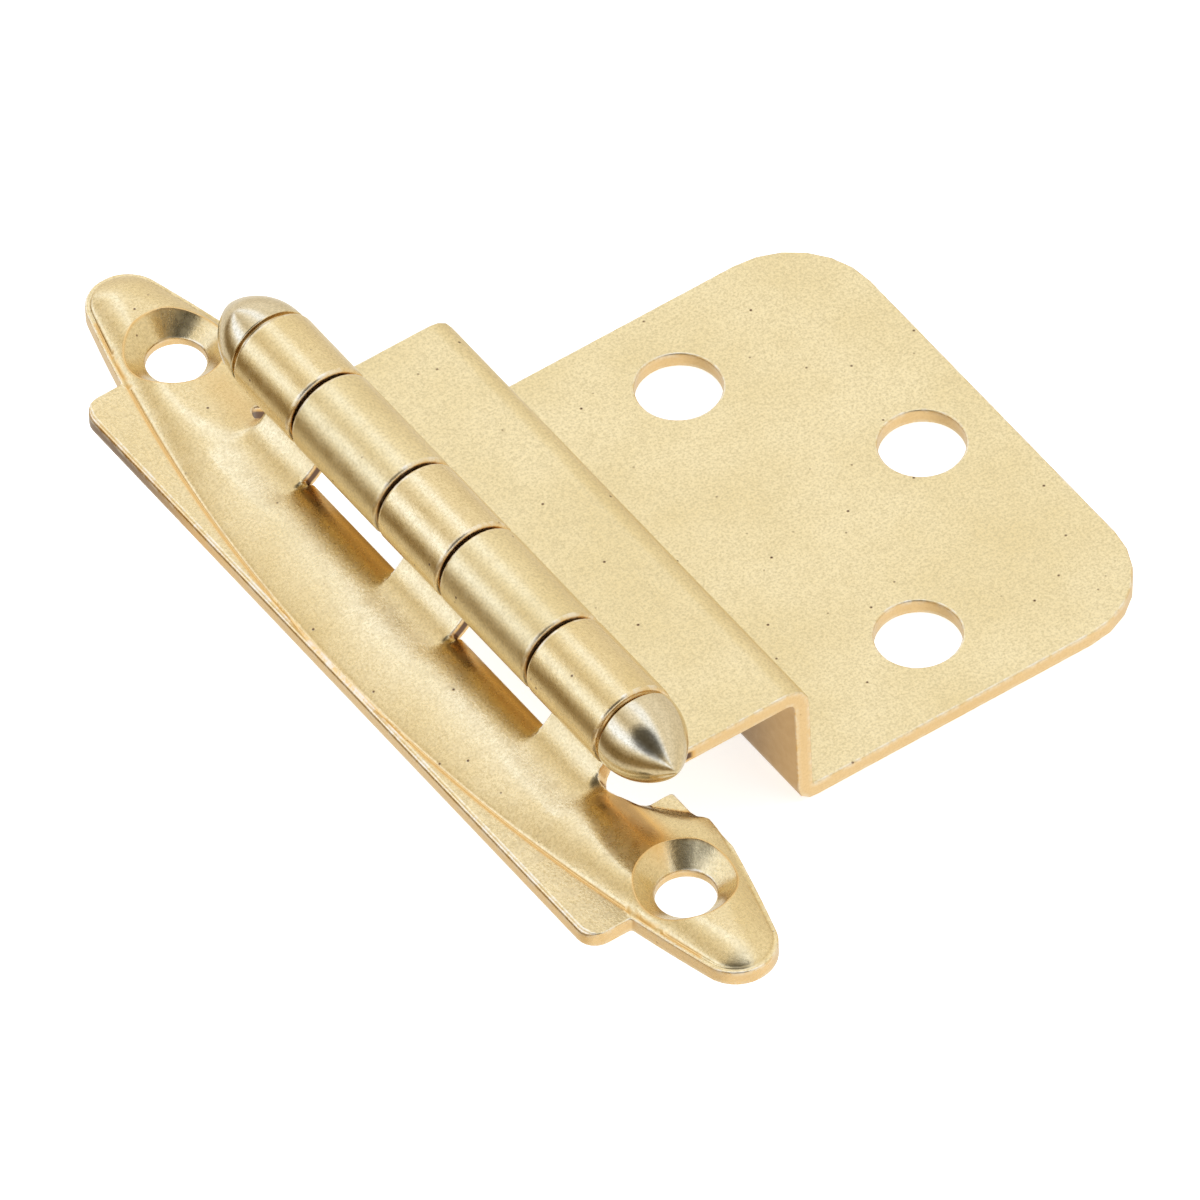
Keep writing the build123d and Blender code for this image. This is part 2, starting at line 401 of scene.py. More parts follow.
def lens_depth(x, y):
    """Distance inside the oval's outline."""
    far = np.abs(y)
    beside = lens_side_radius - np.hypot(np.abs(x) + lens_side_offset, far)
    at_tip = np.degrees(np.arctan2(far, np.abs(x) + lens_side_offset)) > lens_side_angle
    return np.where(at_tip, lens_tip_radius - np.hypot(x, far - lens_tip_centre), beside)


def ridge_right(y):
    """The oval's foot on the pin's side: straight beside the knuckles, then outwards."""
    past = np.abs(y) - ear_start + ridge_turn_lead
    return ridge_right_mid + ridge_right_slope * (np.sqrt(past**2 + ridge_turn**2) + past) / 2


def flank(depth, run, power):
    """Rise from 0 at the foot to 1 at the flat top, steepest at the foot."""
    return 1 - (1 - np.clip(depth / run, 0, 1)) ** power


def dome(x, y):
    """Upper face of the raised oval, without the countersinks."""
    far = np.abs(y)
    near_end = ease(far, *end_blend)
    fall = right_fall * np.maximum(x - crest_x, 0) ** right_fall_power * (1 - near_end)
    body = mixed(crest_height, crest_at_screws, near_end) - np.minimum(fall, deepest_fall)
    body = body - tip_fall * ease(far, *tip_fall_blend)
    depth = np.maximum(lens_depth(x, y) - lens_lip, 0)
    run = mixed(flank_mid, flank_end, ease(far, *flank_blend))
    left = flank(depth, run, mixed(flank_power, flank_end_power, near_end))
    beside = np.maximum(np.minimum(ridge_right(y) - x, depth), 0)
    run = mixed(flank_right, flank_end, ease(far, *flank_right_blend))
    right = flank(beside, run, mixed(flank_right_power, flank_end_power, near_end))
    rise = np.where(x < 0, left, right)
    near_foot = np.where(x < 0, depth, beside)
    step = foot_step * (1 - np.exp(-near_foot / foot_step_run))
    return sheet + step + (body - sheet - step) * rise


def frame_top(x, y):
    """Upper face of the frame leaf: the oval with a countersink at each screw."""
    along = np.abs(y) - screw_y
    from_screw = np.maximum(np.hypot(x, along), 1e-6)
    reach = countersink_radius / from_screw
    rim = dome(x * reach, screw_y + along * reach)
    share = (from_screw - screw_radius) / (countersink_radius - screw_radius)
    cone = countersink_foot + np.maximum(share, 0) * (rim - countersink_foot)
    return np.where(from_screw < countersink_radius, cone, dome(x, y))


def frame_bottom(x, y):
    """Lower face of the frame leaf, one sheet thickness under the oval."""
    d = 0.05
    slope_x = (dome(x + d, y) - dome(x - d, y)) / (2 * d)
    slope_y = (dome(x, y + d) - dome(x, y - d)) / (2 * d)
    under = np.maximum(dome(x, y) - sheet * np.sqrt(1 + slope_x**2 + slope_y**2), 0)
    from_screw = np.hypot(x, np.abs(y) - screw_y)
    return under * ease(from_screw, *screw_boss)


# the tab leaves the dome, runs straight to the pin and curls over it
tab_touch = (
    pin_x + curl_radius * math.sin(tab_heading), pin_z - curl_radius * math.cos(tab_heading)
)
tab_run = (tab_touch[0] - tab_rise_end) / math.cos(tab_heading)
tab_curl_start = tab_rise_end + tab_run
tab_end = tab_curl_start + curl_radius * frame_curl_sweep


def tab_line(u, v):
    """Mid-line of a frame tab: x, z and heading at a distance u."""
    start_z = (dome(tab_rise_start + 0 * u, v) + frame_bottom(tab_rise_start + 0 * u, v)) / 2
    end_z = tab_touch[1] - tab_run * math.sin(tab_heading)
    width = tab_rise_end - tab_rise_start
    t = np.clip((u - tab_rise_start) / width, 0, 1)
    start_slope = tab_start_slope * width
    end_slope = width * math.tan(tab_heading)
    z = (
        (2 * t**3 - 3 * t**2 + 1) * start_z + (t**3 - 2 * t**2 + t) * start_slope
        + (3 * t**2 - 2 * t**3) * end_z + (t**3 - t**2) * end_slope
    )
    rate = (
        (6 * t**2 - 6 * t) * (start_z - end_z) + (3 * t**2 - 4 * t + 1) * start_slope
        + (3 * t**2 - 2 * t) * end_slope
    ) / width
    x = np.minimum(u, tab_rise_end)
    heading = np.arctan(rate)
    straight = np.clip(u - tab_rise_end, 0, tab_run)
    x = x + straight * math.cos(tab_heading)
    z = z + straight * math.sin(tab_heading)
    turn = np.maximum(u - tab_curl_start, 0) / curl_radius
    angle = tab_heading + turn
    curled = turn > 0
    x = np.where(curled, pin_x + curl_radius * np.sin(angle), x)
    z = np.where(curled, pin_z - curl_radius * np.cos(angle), z)
    return x, z, np.where(curled, angle, heading)


def tab_share(u, v):
    """1 on a tab and 0 away from it: cut clean beside the slots, blended in the oval."""
    inner, outer = knuckle_edges
    far = np.abs(v)
    cut = knuckle_gap - nick_width / 2
    depth = np.maximum(inner - cut - far, far - outer - cut)
    spread = 0.03 + 1.3 * np.clip((nick_end - u) / (nick_end - tab_rise_start), 0, 1)
    on = np.clip((depth + spread) / (2 * spread), 0, 1)
    past = ease(far, tab_side - 0.3, tab_side + 1.4)
    return on * on * (3 - 2 * on) * (1 - past) * (u > tab_rise_start)


def place_frame(u, v, w):
    """The frame leaf's flat pattern in place: the oval and flange, or the tabs and curls."""
    x_flat = np.minimum(u, lens_half_width)
    top, bottom = frame_top(x_flat, v), frame_bottom(x_flat, v)
    z_flat = (top + bottom) / 2 + w * (top - bottom) / sheet
    x_tab, z_tab, heading = tab_line(u, v)
    share = tab_share(u, v)
    share = np.where((u > slot_edge + 0.3) & (np.abs(v) < tab_side + 0.01), 1.0, share)
    share = np.where(u > trim_edge + 0.6, 1.0, share)
    x = (1 - share) * x_flat + share * (x_tab - w * np.sin(heading))
    z = (1 - share) * z_flat + share * (z_tab + w * np.cos(heading))
    return x, v, z


def frame_outline():
    """Anticlockwise from the lower tip: ear, knuckles, upper end, flange."""
    inner, outer = knuckle_edges
    trim_angle = math.degrees(math.acos((trim_edge + lens_side_offset) / lens_side_radius))
    knuckle_start = tab_curl_start + knuckle_overhang

    def right_side(sign, notch, knuckle_end):
        """From the ear to the middle knuckle, for the upper half (sign 1) or the lower."""
        outer_end, inner_end = outer + knuckle_gap, inner - knuckle_gap
        return [
            (ear_edge, sign * ear_start, ear_corner),
            *notch,
            (knuckle_start, sign * tab_side, 0.1),
            (knuckle_start, sign * knuckle_end, knuckle_corner),
            (tab_end, sign * knuckle_end, knuckle_corner),
            (tab_end, sign * outer_end, knuckle_corner),
            (nick_end, sign * outer_end, nick_corner),
            (nick_end, sign * (outer_end - nick_width), nick_corner),
            (slot_edge, sign * (outer_end - nick_width), slot_corner),
            (slot_edge, sign * (inner_end + nick_width), slot_corner),
            (nick_end, sign * (inner_end + nick_width), nick_corner),
            (nick_end, sign * inner_end, nick_corner),
            (tab_end, sign * inner_end, knuckle_corner),
        ]

    upper_notch = [(upper_notch_edge, ear_start, 1.1), (upper_notch_edge, tab_side, 0.8)]
    lower_notch = [
        (notch_valley, -ear_start - 0.03, 0.15), (notch_edge + 0.07, -notch_bend, 0.7),
        (notch_edge, -tab_side, 0.45),
    ]
    corners = []
    corners += arc(0, -lens_tip_centre, lens_tip_radius, -90, -lens_side_angle, 0.3)[:-1]
    corners += arc(-lens_side_offset, 0, lens_side_radius, -lens_side_angle, -trim_angle, 0.5)
    corners += [
        (trim_edge, -ear_end - ear_corner, trim_corner),
        (ear_edge, -ear_end + ear_corner, trim_corner),
    ]
    corners += right_side(-1, lower_notch, -barrel_bottom)
    corners += reversed(right_side(1, upper_notch, barrel_top))
    corners += [
        (ear_edge, ear_end - ear_corner, trim_corner),
        (trim_edge, ear_end + ear_corner, trim_corner),
    ]
    corners += arc(-lens_side_offset, 0, lens_side_radius, trim_angle, lens_side_angle, 0.5)[:-1]
    corners += arc(0, lens_tip_centre, lens_tip_radius, lens_side_angle, 180 - lens_side_angle, 0.3)
    join = math.degrees(math.asin(flange_end / lens_side_radius))
    side = (lens_side_offset, 0, lens_side_radius)
    corners += arc(*side, 180 - lens_side_angle, 180 - join, 0.5)[1:-1]
    join_x = lens_side_offset - lens_side_radius * math.cos(math.radians(join))
    corners += [(join_x, flange_end, ear_corner), (flange_edge, flange_end, flange_corner)]
    corners += [(flange_edge, -flange_end, flange_corner), (join_x, -flange_end, ear_corner)]
    corners += arc(*side, 180 + join, 180 + lens_side_angle, 0.5)[1:-1]
    corners += arc(0, -lens_tip_centre, lens_tip_radius, 180 + lens_side_angle, 270, 0.3)[:-1]
    return rounded(corners, 0.4)


def lens_line(depth, step):
    """Points along a line parallel to the oval's outline, at a depth inside it."""
    turn = math.degrees(step / lens_side_radius)
    sides = np.radians(np.arange(-lens_side_angle, lens_side_angle, turn))
    x = (lens_side_radius - depth) * np.cos(sides) - lens_side_offset
    y = (lens_side_radius - depth) * np.sin(sides)
    turn = np.radians(np.linspace(lens_side_angle, 180 - lens_side_angle, 24))
    tip_x = (lens_tip_radius - depth) * np.cos(turn)
    tip_y = lens_tip_centre + (lens_tip_radius - depth) * np.sin(turn)
    halves = [(x, y), (-x, y), (tip_x, tip_y), (tip_x, -tip_y)]
    return np.concatenate([np.stack(half, 1) for half in halves])


def frame_fill():
    """Points between the outlines: lines along the oval's foot, a grid inside it, rings
    round the screws, fine lines beside the tabs and a grid along the curls."""
    foot_steps = (-0.35, -0.18, -0.07, 0.0, 0.05, 0.11, 0.19, 0.3, 0.45, 0.65, 0.9, 1.2)
    foot_band = (-0.55, 1.55)         # the grid leaves this band to the lines
    tab_steps = (0.08, 0.2, 0.34, 0.5, 0.68, 0.88)
    tab_band = 0.95
    ring_radii = (2.25, 2.6, 2.95, 3.2, 3.3, 3.35, 3.4, 3.48, 3.62, 3.85)
    ring_band = 4.1

    parts = []
    for step in foot_steps:
        line = lens_line(lens_lip + step, 0.35)
        parts.append(line[(line[:, 0] < 0) | (np.abs(line[:, 1]) > foot_end)])
        y = np.arange(foot_start, foot_end, 0.25)
        x = ridge_right(y) - step
        parts += [np.stack([x, y], 1), np.stack([x, -y], 1)]
    x, y = np.meshgrid(
        np.arange(flange_edge, trim_edge, 0.37), np.arange(-lens_half_length, lens_half_length, 0.4)
    )
    grid = np.stack([x.ravel(), y.ravel()], 1)
    depth = lens_depth(grid[:, 0], grid[:, 1]) - lens_lip
    beside = ridge_right(grid[:, 1]) - grid[:, 0]
    low, high = foot_band
    on_outline = (grid[:, 0] < 0) | (np.abs(grid[:, 1]) > foot_end)
    near_left = (depth > low) & (depth < high) & on_outline
    near_right = (beside > low) & (beside < high) & (np.abs(grid[:, 1]) > foot_start)
    parts.append(grid[~near_left & ~near_right])
    plan = np.concatenate(parts)
    plan = plan[np.hypot(plan[:, 0], np.abs(plan[:, 1]) - screw_y) > ring_band]
    inner, outer = knuckle_edges
    sides = (inner, -inner, outer, -outer, tab_side, -tab_side)
    fine_start = tab_rise_start - 0.1
    beside_tab = np.zeros(len(plan), bool)
    for side in sides:
        beside_tab |= (np.abs(plan[:, 1] - side) < tab_band) & (plan[:, 0] > fine_start)
    plan = plan[~beside_tab]
    plan = plan[(plan[:, 0] < 0.75) | (np.abs(plan[:, 1]) > ear_start - 0.8)]
    fine = []
    for side in sides:
        for off in tab_steps:
            u = np.arange(fine_start, 0.7, 0.14)
            fine += [np.stack([u, side + off + 0 * u], 1), np.stack([u, side - off + 0 * u], 1)]
    rings = []
    for sign in (-1, 1):
        for r in ring_radii:
            rings.append(circle(0, sign * screw_y, r, 96))
    u, v = np.meshgrid(np.arange(0.8, tab_end, 0.24), np.arange(barrel_bottom, barrel_top, 0.42))
    curls = np.stack([u.ravel(), v.ravel()], 1)
    curls = curls[np.abs(curls[:, 1]) < tab_side + 3]
    return np.concatenate([plan] + fine + rings + [curls])


def frame_edge_top(u, v):
    """Rounding of the frame leaf's upper edges, rolled over along the flange."""
    on_flange = ease(-u, 6.9, 7.3) * (np.abs(v) < flange_end + 0.1)
    return frame_edge_round + flange_edge_round * on_flange


def frame_edge_bottom(u, v):
    """Rounding of its lower edges, which are outermost on the curls."""
    on_curl = np.where(np.abs(v) < ear_start, ease(u, 2.2, 3.6), 0)
    return back_edge_round + curl_edge_round * on_curl


def line_at(distance, width):
    """1 on a line and 0 away from it."""
    return np.exp(-((distance / width) ** 2))


def frame_painted_shade(u, v, w, wall, rim):
    """Painted shade: dark brown on the cut walls in the slots and between the knuckles and on
    the flange's edge wall, darker towards its upper end, brown lines in the creases at the
    oval's feet and round the countersinks, and amber on the oval beside the slots."""
    far = np.abs(v)
    inner, outer = knuckle_edges
    # painted shade on the cut walls in the slots and between the knuckles
    in_slots = (u > nick_end - 0.5) & (far < np.where(v > 0, ear_start + 0.3, outer + 1))
    # painted shade on the flange's edge wall: dark towards its upper end, a little at its lower end
    on_flange = (u < flange_edge + 0.4) * (0.95 * ease(v, 6, 24) + 0.15 * ease(-v, 15, 27))
    on_wall = np.maximum(wall * (1 - rim) * in_slots, wall**2 * on_flange)

    # painted shade: brown lines in the creases along the oval's feet and round each countersink's rim
    ridge = np.where(far < foot_start, 9.0, np.abs(ridge_right(v) - u))
    ear_crease = 0.95 * line_at(ridge, 0.11) * (u > 0.8) * (far < ear_end + 2)
    foot = lens_depth(u, v) - lens_lip
    left_crease = 0.6 * line_at(foot + 0.03, 0.11) * (u < 0) * (far < 34)
    from_screw = np.hypot(u, far - screw_y)
    screw_ring = 0.45 * line_at(from_screw - countersink_radius, 0.06)

    # painted shade: amber on the oval beside the slots, where it lies under the barrel
    by_slots = ease(far, inner - 0.1, inner + 0.7) * (1 - ease(far, outer - 0.7, outer + 0.1))
    slots = np.maximum(by_slots, ease(far, tab_side - 0.2, tab_side + 1.6))
    slots = slots * (1 - ease(far, 24, 27)) * (1 - 0.8 * ease(v, 17, 19))
    amber = slots * (0.45 * ease(u, -1.9, 0.0) + 0.27 * ease(u, -0.6, 0.2))
    amber = amber * (1 - ease(u, 0.5, 2.0))

    top = (w > 0) * (1 - wall)
    return on_wall + top * np.max([amber, ear_crease, left_crease, screw_ring], 0)


frame_loops = [frame_outline()]
for sign in (-1, 1):
    frame_loops.append(circle(0, sign * screw_y, screw_radius, 96, clockwise=True))

frame_leaf = make_sheet(
    "frame_leaf_sheet",
    frame_loops,
    frame_fill(),
    place_frame,
    frame_edge_top,
    frame_edge_bottom,
    frame_painted_shade,
    margin=0.09,
)

# ---------------------------------------------------------------- door leaf
door_pivot = (tab_corner, flat_mid)
door_reach = math.hypot(pin_x - door_pivot[0], pin_z - door_pivot[1])
door_rise = math.atan2(pin_z - door_pivot[1], door_pivot[0] - pin_x)
door_rise -= math.asin(curl_radius / door_reach)


def bent_path(corners, step):
    """Points along straight runs joined by arcs: corners are (x, z, bend radius)."""
    points = [np.array(corners[0][:2], float)]
    for before, corner, after in zip(corners[:-2], corners[1:-1], corners[2:]):
        points += corner_arc(before, corner, after, lambda turn: max(3, int(turn * corner[2] / step)))
    points.append(np.array(corners[-1][:2], float))
    return points


# the curl starts under the pin, goes over it towards -X and down to the flat
touch_angle = math.radians(270) - door_rise
curl_from = touch_angle - door_curl_sweep
curl_turn = np.linspace(curl_from, touch_angle, 700)
door_points = [
    np.array([pin_x + curl_radius * math.cos(a), pin_z + curl_radius * math.sin(a)]) for a in curl_turn
]
leg_mid = leg_face - sheet / 2
door_points += bent_path(
    [
        (door_points[-1][0], door_points[-1][1], 0),
        (tab_corner, flat_mid, tab_bend),
        (leg_mid, flat_mid, upper_bend),
        (leg_mid, plate_mid, lower_bend),
        (door_high.x, plate_mid, 0),
    ],
    0.02,
)[1:]
door_points = np.array(door_points)
door_u = np.concatenate([[0], np.cumsum(np.linalg.norm(np.diff(door_points, axis=0), axis=1))])
# distances are shifted so that they equal x along the upper flat
on_flat = np.argmin(np.abs(door_points[:, 0] - 10.0) + np.abs(door_points[:, 1] - flat_mid))
door_u += door_points[on_flat, 0] - door_u[on_flat]
door_tangent = np.gradient(door_points, door_u, axis=0)
door_tangent /= np.linalg.norm(door_tangent, axis=1)[:, None]
door_tab_end = door_u[0]
door_plate_end = door_u[-1]
plate_shift = door_plate_end - door_high.x       # distance minus x on the plate


def on_door_tab(v):
    """True on the two tabs of the door leaf and the small cuts beside them."""
    inner, outer = knuckle_edges
    return (np.abs(v) > inner - relief_width / 2) & (np.abs(v) < outer + relief_width / 2)


def place_door(u, v, w):
    """The door leaf's flat pattern, bent along its path."""
    x = np.interp(u, door_u, door_points[:, 0])
    z = np.interp(u, door_u, door_points[:, 1])
    tx = np.interp(u, door_u, door_tangent[:, 0])
    tz = np.interp(u, door_u, door_tangent[:, 1])
    flat = (u < 8) & ~on_door_tab(v)
    x = np.where(flat, u, x - w * tz)
    z = np.where(flat, flat_mid + w, z + w * tx)
    return x, v, z


def door_outline():
    """Anticlockwise from the flat's lower corner: plate, then the two tabs."""
    inner, outer = knuckle_edges
    low, high = inner + knuckle_gap, outer - knuckle_gap
    left = [
        (flat_edge, high + relief_width, flat_corner),
        (relief_depth, high + relief_width, relief_corner),
        (relief_depth, high, relief_corner),
        (door_tab_end, high, knuckle_corner),
        (door_tab_end, low, knuckle_corner),
        (relief_depth, low, relief_corner),
        (relief_depth, low - relief_width, relief_corner),
        (flat_edge, low - relief_width, flat_corner),
    ]
    corners = [
        (flat_edge, -door_half_width, flat_corner),
        (door_plate_end, -door_half_width, plate_corner),
        (door_plate_end, door_half_width, plate_corner),
        (flat_edge, door_half_width, flat_corner),
    ]
    corners += left
    corners += [(u, -v, r) for u, v, r in reversed(left)]
    return rounded(corners, 0.5)


def door_fill():
    """Points between the outlines, in rows that are closest together on the bends."""
    spans = (
        (door_tab_end, 4.5, 0.24), (4.5, 8.2, 0.2), (8.6, 13.2, 0.7), (13.2, 16.0, 0.12),
        (16.6, 22.0, 0.7), (22.0, 25.5, 0.12), (26.0, door_plate_end, 0.7),
    )
    points = []
    for start, end, row_step in spans:
        for u in np.arange(start, end, row_step):
            step = 0.42 if u < 8.2 else 0.8
            points += [(u, v) for v in np.arange(-door_half_width, door_half_width, step)]
    return np.array(points)


def door_painted_shade(u, v, w, wall, rim):
    """Painted shade: brown on the cut walls between the knuckles, and on the leg's inner face
    in the hollow under the flat, lighter towards its front edge.
    """
    # painted shade on the leg's inner face, in the hollow under the flat
    leg = ease(u, leg_mid - 4, leg_mid - 1) * (1 - ease(u, leg_mid + 9.5, leg_mid + 11))
    inner_face = (w < 0) * (1 - wall) * leg * (0.62 + 0.3 * ease(v, -door_half_width, -12))
    return wall * (1 - rim) * (u < tab_corner) + inner_face


door_loops = [door_outline()]
for x, y in ((door_hole_x, door_hole_y), (door_hole_x, -door_hole_y), (far_hole_x, 0)):
    door_loops.append(circle(x + plate_shift, y, door_hole_radius, 72, clockwise=True))

door_leaf = make_sheet(
    "door_leaf_sheet",
    door_loops,
    door_fill(),
    place_door,
    lambda u, v: np.full(len(u), door_edge_round),
    lambda u, v: back_edge_round + curl_edge_round * (1 - ease(u, 2.6, 4.0)),
    door_painted_shade,
    margin=0.12,
)


# ---------------------------------------------------------------- finials
finial_radius = 2.97
finial_shoulder = 0.12            # rounding at the widest part
finial_neck = 0.44                # from the barrel's end to the widest part
finial_turns = 96


def finial_profile(length):
    """Radius and distance from the barrel's end: a narrow neck, a rounded shoulder, a nose."""
    neck = [(0.0, 0.02), (2.3, 0.02), (2.52, 0.02), (2.6, 0.10), (2.6, 0.24), (2.66, 0.31)]
    shoulder = [
        (
            finial_radius - finial_shoulder + finial_shoulder * math.sin(a),
            finial_neck - finial_shoulder * math.cos(a),
        )
        for a in np.linspace(0, math.pi / 2, 6)
    ]
    shares = np.concatenate([np.linspace(0.03, 0.9, 30), 1 - np.geomspace(0.09, 0.0015, 14)])
    nose = [
        (finial_radius * (1 - t**2.1) ** 0.8, finial_neck + (length - finial_neck) * t)
        for t in shares
    ]
    return neck + shoulder + nose + [(0.0, length)]


def make_finial(name, face, side, length):
    """A turned bullet with a narrow neck, closed at both ends."""
    points, faces, rings = [], [], []
    for r, s in finial_profile(length):
        y = face + side * s
        if r < 1e-6:
            rings.append([len(points)])
            points.append((pin_x, y, pin_z))
            continue
        first = len(points)
        for k in range(finial_turns):
            a = 2 * math.pi * k / finial_turns
            points.append((pin_x + r * math.cos(a), y, pin_z + r * math.sin(a)))
        rings.append(list(range(first, first + finial_turns)))
    for inner, outer in zip(rings[:-1], rings[1:]):
        for k in range(finial_turns):
            j = (k + 1) % finial_turns
            quad = [inner[k % len(inner)], outer[k % len(outer)]]
            quad += [outer[j % len(outer)], inner[j % len(inner)]]
            quad = list(dict.fromkeys(quad))          # a triangle at a closed end
            faces.append(tuple(quad if side > 0 else reversed(quad)))
    zero = np.zeros(len(points))
    return new_mesh(name, np.array(points), faces, zero, zero, zero)


upper_finial = make_finial("upper_finial_turned", barrel_top, 1, upper_high.y - barrel_top)
lower_finial = make_finial(
    "lower_finial_turned", barrel_bottom, -1, barrel_bottom - lower_low.y
)


# ---------------------------------------------------------------- materials
# painted shade colours: amber, and dark brown where the shade is deepest
AMBER = (0.78, 0.48, 0.16, 1)
DARK_BROWN = (0.13, 0.065, 0.035, 1)
PIT = (0.16, 0.08, 0.04, 1)
SHEARED = (0.86, 0.59, 0.31, 1)       # coppery cut faces
RUBBED_AND_HIGHLIGHT = (0.95, 0.90, 0.78, 1)        # edges rubbed bright, partly a painted highlight


def new_material(name):
    """An empty node material with a Principled shader."""
    material = bpy.data.materials.new(name)
    material.use_nodes = True
    tree = material.node_tree
    tree.nodes.clear()
    output = tree.nodes.new("ShaderNodeOutputMaterial")
    shader = tree.nodes.new("ShaderNodeBsdfPrincipled")
    tree.links.new(shader.outputs[0], output.inputs["Surface"])
    return material, tree, shader


class Nodes:
    """Short names for the few node types that the materials use."""

    def __init__(self, tree):
        self.tree = tree
        self.place = tree.nodes.new("ShaderNodeTexCoord").outputs["Object"]

    def link(self, value, socket):
        if isinstance(value, bpy.types.NodeSocket):
            self.tree.links.new(value, socket)
        else:
            socket.default_value = value

    def noise(self, per_mm, detail=2.0, rough=0.5, stretch=None):
        node = self.tree.nodes.new("ShaderNodeTexNoise")
        where = self.place
        if stretch:
            mapping = self.tree.nodes.new("ShaderNodeMapping")
            mapping.inputs["Scale"].default_value = stretch
            self.link(where, mapping.inputs["Vector"])
            where = mapping.outputs[0]
        self.link(where, node.inputs["Vector"])
        node.inputs["Scale"].default_value = per_mm / MM
        node.inputs["Detail"].default_value = detail
        node.inputs["Roughness"].default_value = rough
        return node.outputs["Fac"]

    def specks(self, per_mm, size):
        """1 in a few small round spots, 0 elsewhere."""
        node = self.tree.nodes.new("ShaderNodeTexVoronoi")
        self.link(self.place, node.inputs["Vector"])
        node.inputs["Scale"].default_value = per_mm / MM
        near = self.ramp(node.outputs["Distance"], size, size * 0.4)
        rare = self.ramp(self.separate(node.outputs["Color"], 0), 0.68, 0.72)
        return self.math("MULTIPLY", near, rare)

    def separate(self, value, index):
        node = self.tree.nodes.new("ShaderNodeSeparateXYZ")
        self.link(value, node.inputs[0])
        return node.outputs[index]

    def ramp(self, value, low, high, to_low=0.0, to_high=1.0):
        node = self.tree.nodes.new("ShaderNodeMapRange")
        self.link(value, node.inputs["Value"])
        node.inputs["From Min"].default_value = low
        node.inputs["From Max"].default_value = high
        node.inputs["To Min"].default_value = to_low
        node.inputs["To Max"].default_value = to_high
        return node.outputs[0]

    def math(self, operation, a, b):
        node = self.tree.nodes.new("ShaderNodeMath")
        node.operation = operation
        self.link(a, node.inputs[0])
        self.link(b, node.inputs[1])
        return node.outputs[0]

    def mix(self, share, a, b):
        node = self.tree.nodes.new("ShaderNodeMix")
        node.data_type = "RGBA"
        self.link(share, node.inputs[0])
        self.link(a, node.inputs[6])
        self.link(b, node.inputs[7])
        return node.outputs[2]

    def attribute(self, name):
        node = self.tree.nodes.new("ShaderNodeAttribute")
        node.attribute_name = name
        return node.outputs["Fac"]

    def bump(self, height, strength, distance, under=None):
        node = self.tree.nodes.new("ShaderNodeBump")
        node.inputs["Strength"].default_value = strength
        node.inputs["Distance"].default_value = distance * MM
        self.link(height, node.inputs["Height"])
        if under is not None:
            self.link(under, node.inputs["Normal"])
        return node.outputs[0]


def plated_brass(name, colour, deep, rough, grain, coat, pit):
    """Lacquered brass plate: cloudy tone, sandy grain, pits, coppery sheared edges that are
    rubbed bright in places and carry a painted highlight, and painted shade, amber to dark
    brown, where a mesh says so. grain is the depth of the sandy bumps and pit the size of
    the pits."""
    material, tree, shader = new_material(name)
    n = Nodes(tree)
    cloud = n.noise(0.12, 3.0, 0.6)
    sand = n.noise(5.5, 2.0, 0.7)
    coarse = n.noise(1.3, 3.0, 0.65)
    tone = n.mix(n.ramp(cloud, 0.35, 0.68), colour, deep)
    tone = n.mix(n.ramp(sand, 0.38, 0.70, 0.0, 0.75), tone, [c * 0.72 for c in deep[:3]] + [1])
    pits = n.specks(0.8, pit)
    tone = n.mix(pits, tone, PIT)
    wall = n.attribute("wall")
    rim = n.attribute("rim")
    tone = n.mix(n.math("MULTIPLY", wall, 0.6), tone, SHEARED)
    # painted shade from the mesh: amber, then dark brown
    dark = n.attribute("painted_shade")
    tone = n.mix(n.ramp(dark, 0.0, 0.5), tone, AMBER)
    tone = n.mix(n.ramp(dark, 0.5, 1.0), tone, DARK_BROWN)
    # rounded edges lighter in patches: partly rubbed wear, partly a painted highlight
    worn_and_highlight = n.math("MULTIPLY", rim, n.ramp(coarse, 0.42, 0.62))
    tone = n.mix(n.math("MULTIPLY", worn_and_highlight, 0.5), tone, RUBBED_AND_HIGHLIGHT)
    tree.links.new(tone, shader.inputs["Base Color"])
    shader.inputs["Metallic"].default_value = 1.0
    patchy = n.ramp(coarse, 0.3, 0.7, rough - 0.05, rough + 0.06)
    patchy = n.math("ADD", patchy, n.math("MULTIPLY", pits, 0.3))
    tree.links.new(patchy, shader.inputs["Roughness"])
    shader.inputs["Coat Weight"].default_value = coat
    shader.inputs["Coat Roughness"].default_value = 0.22
    shader.inputs["Coat IOR"].default_value = 1.5
    height = n.math("SUBTRACT", n.math("MULTIPLY", sand, grain), n.math("MULTIPLY", pits, 1.0))
    soft = n.bump(coarse, 0.25, 0.02)
    tree.links.new(n.bump(height, 0.5, 0.03, soft), shader.inputs["Normal"])
    return material


leaf_brass = plated_brass(
    "brass_leaf", (0.89, 0.74, 0.42, 1), (0.82, 0.66, 0.34, 1),
    rough=0.36, grain=0.75, coat=0.35, pit=0.10,
)
frame_brass = plated_brass(
    "brass_frame", (0.89, 0.73, 0.42, 1), (0.81, 0.63, 0.31, 1),
    rough=0.27, grain=0.70, coat=0.4, pit=0.10,
)
finial_brass = plated_brass(
    "brass_finial", (0.82, 0.71, 0.49, 1), (0.73, 0.61, 0.38, 1),
    rough=0.17, grain=0.25, coat=0.5, pit=0.05,
)


